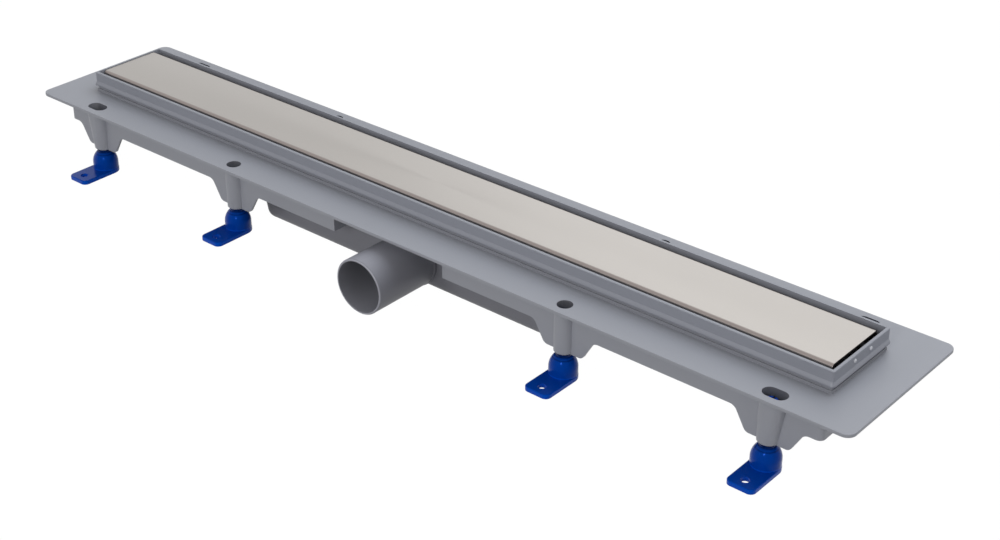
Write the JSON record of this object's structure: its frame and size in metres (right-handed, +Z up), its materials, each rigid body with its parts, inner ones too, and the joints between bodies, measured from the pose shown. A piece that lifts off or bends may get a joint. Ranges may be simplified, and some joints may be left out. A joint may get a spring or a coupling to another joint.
{
  "type": "linear shower drain",
  "caption": "Linear shower drain: brushed cover in a raised rim, flanged sloping channel, trap sump with side spigot, swivelling feet on screw spindles",
  "frame": {"origin": "centre of the bounding box, on the floor that the feet stand on", "axes": "+X along the channel, -Y to the outlet side, +Z up"},
  "size_m": [0.89, 0.2004, 0.0845],
  "materials": {
    "body_plastic": "satin moulded grey",
    "sump_plastic": "satin moulded grey",
    "frame_plastic": "satin moulded grey",
    "cover_steel": "brushed along its length",
    "trap_plastic": "plain moulded",
    "seal_rubber": "smooth",
    "foot_plastic": "glossy moulded blue"
  },
  "bodies": {
    "drain": {"channel_body": "body_plastic", "sump_housing": "sump_plastic", "rim_frame": "frame_plastic", "cover_plate": "cover_steel", "trap_insert": "trap_plastic", "trap_seal": "seal_rubber", "trap_cup": "trap_plastic", "hair_strainer": "trap_plastic"},
    "spindle_front_1": {"foot_spindle_front_1": "foot_plastic"},
    "foot_front_1": {"foot_base_front_1": "foot_plastic"},
    "spindle_front_2": {"foot_spindle_front_2": "foot_plastic"},
    "foot_front_2": {"foot_base_front_2": "foot_plastic"},
    "spindle_front_3": {"foot_spindle_front_3": "foot_plastic"},
    "foot_front_3": {"foot_base_front_3": "foot_plastic"},
    "spindle_front_4": {"foot_spindle_front_4": "foot_plastic"},
    "foot_front_4": {"foot_base_front_4": "foot_plastic"},
    "spindle_rear_1": {"foot_spindle_rear_1": "foot_plastic"},
    "foot_rear_1": {"foot_base_rear_1": "foot_plastic"},
    "spindle_rear_2": {"foot_spindle_rear_2": "foot_plastic"},
    "foot_rear_2": {"foot_base_rear_2": "foot_plastic"},
    "spindle_rear_3": {"foot_spindle_rear_3": "foot_plastic"},
    "foot_rear_3": {"foot_base_rear_3": "foot_plastic"},
    "spindle_rear_4": {"foot_spindle_rear_4": "foot_plastic"},
    "foot_rear_4": {"foot_base_rear_4": "foot_plastic"}
  },
  "joints": [
    {"name": "level_front_1", "type": "slide", "parent": "drain", "child": "spindle_front_1", "axis": [0, 0, -1], "range_m": [0, 0.025]},
    {"name": "swivel_front_1", "type": "hinge", "parent": "spindle_front_1", "child": "foot_front_1", "pos_m": [-0.374, -0.0642, 0.0125], "axis": [0, 0, 1], "continuous": true},
    {"name": "level_front_2", "type": "slide", "parent": "drain", "child": "spindle_front_2", "axis": [0, 0, -1], "range_m": [0, 0.025]},
    {"name": "swivel_front_2", "type": "hinge", "parent": "spindle_front_2", "child": "foot_front_2", "pos_m": [-0.187, -0.0642, 0.0125], "axis": [0, 0, 1], "range_deg": [-135, 135]},
    {"name": "level_front_3", "type": "slide", "parent": "drain", "child": "spindle_front_3", "axis": [0, 0, -1], "range_m": [0, 0.025]},
    {"name": "swivel_front_3", "type": "hinge", "parent": "spindle_front_3", "child": "foot_front_3", "pos_m": [0.187, -0.0642, 0.0125], "axis": [0, 0, 1], "range_deg": [-135, 135]},
    {"name": "level_front_4", "type": "slide", "parent": "drain", "child": "spindle_front_4", "axis": [0, 0, -1], "range_m": [0, 0.025]},
    {"name": "swivel_front_4", "type": "hinge", "parent": "spindle_front_4", "child": "foot_front_4", "pos_m": [0.374, -0.0642, 0.0125], "axis": [0, 0, 1], "continuous": true},
    {"name": "level_rear_1", "type": "slide", "parent": "drain", "child": "spindle_rear_1", "axis": [0, 0, -1], "range_m": [0, 0.025]},
    {"name": "swivel_rear_1", "type": "hinge", "parent": "spindle_rear_1", "child": "foot_rear_1", "pos_m": [-0.374, 0.0642, 0.0125], "axis": [0, 0, 1], "continuous": true},
    {"name": "level_rear_2", "type": "slide", "parent": "drain", "child": "spindle_rear_2", "axis": [0, 0, -1], "range_m": [0, 0.025]},
    {"name": "swivel_rear_2", "type": "hinge", "parent": "spindle_rear_2", "child": "foot_rear_2", "pos_m": [-0.187, 0.0642, 0.0125], "axis": [0, 0, 1], "range_deg": [-135, 135]},
    {"name": "level_rear_3", "type": "slide", "parent": "drain", "child": "spindle_rear_3", "axis": [0, 0, -1], "range_m": [0, 0.025]},
    {"name": "swivel_rear_3", "type": "hinge", "parent": "spindle_rear_3", "child": "foot_rear_3", "pos_m": [0.187, 0.0642, 0.0125], "axis": [0, 0, 1], "range_deg": [-135, 135]},
    {"name": "level_rear_4", "type": "slide", "parent": "drain", "child": "spindle_rear_4", "axis": [0, 0, -1], "range_m": [0, 0.025]},
    {"name": "swivel_rear_4", "type": "hinge", "parent": "spindle_rear_4", "child": "foot_rear_4", "pos_m": [0.374, 0.0642, 0.0125], "axis": [0, 0, 1], "continuous": true}
  ]
}
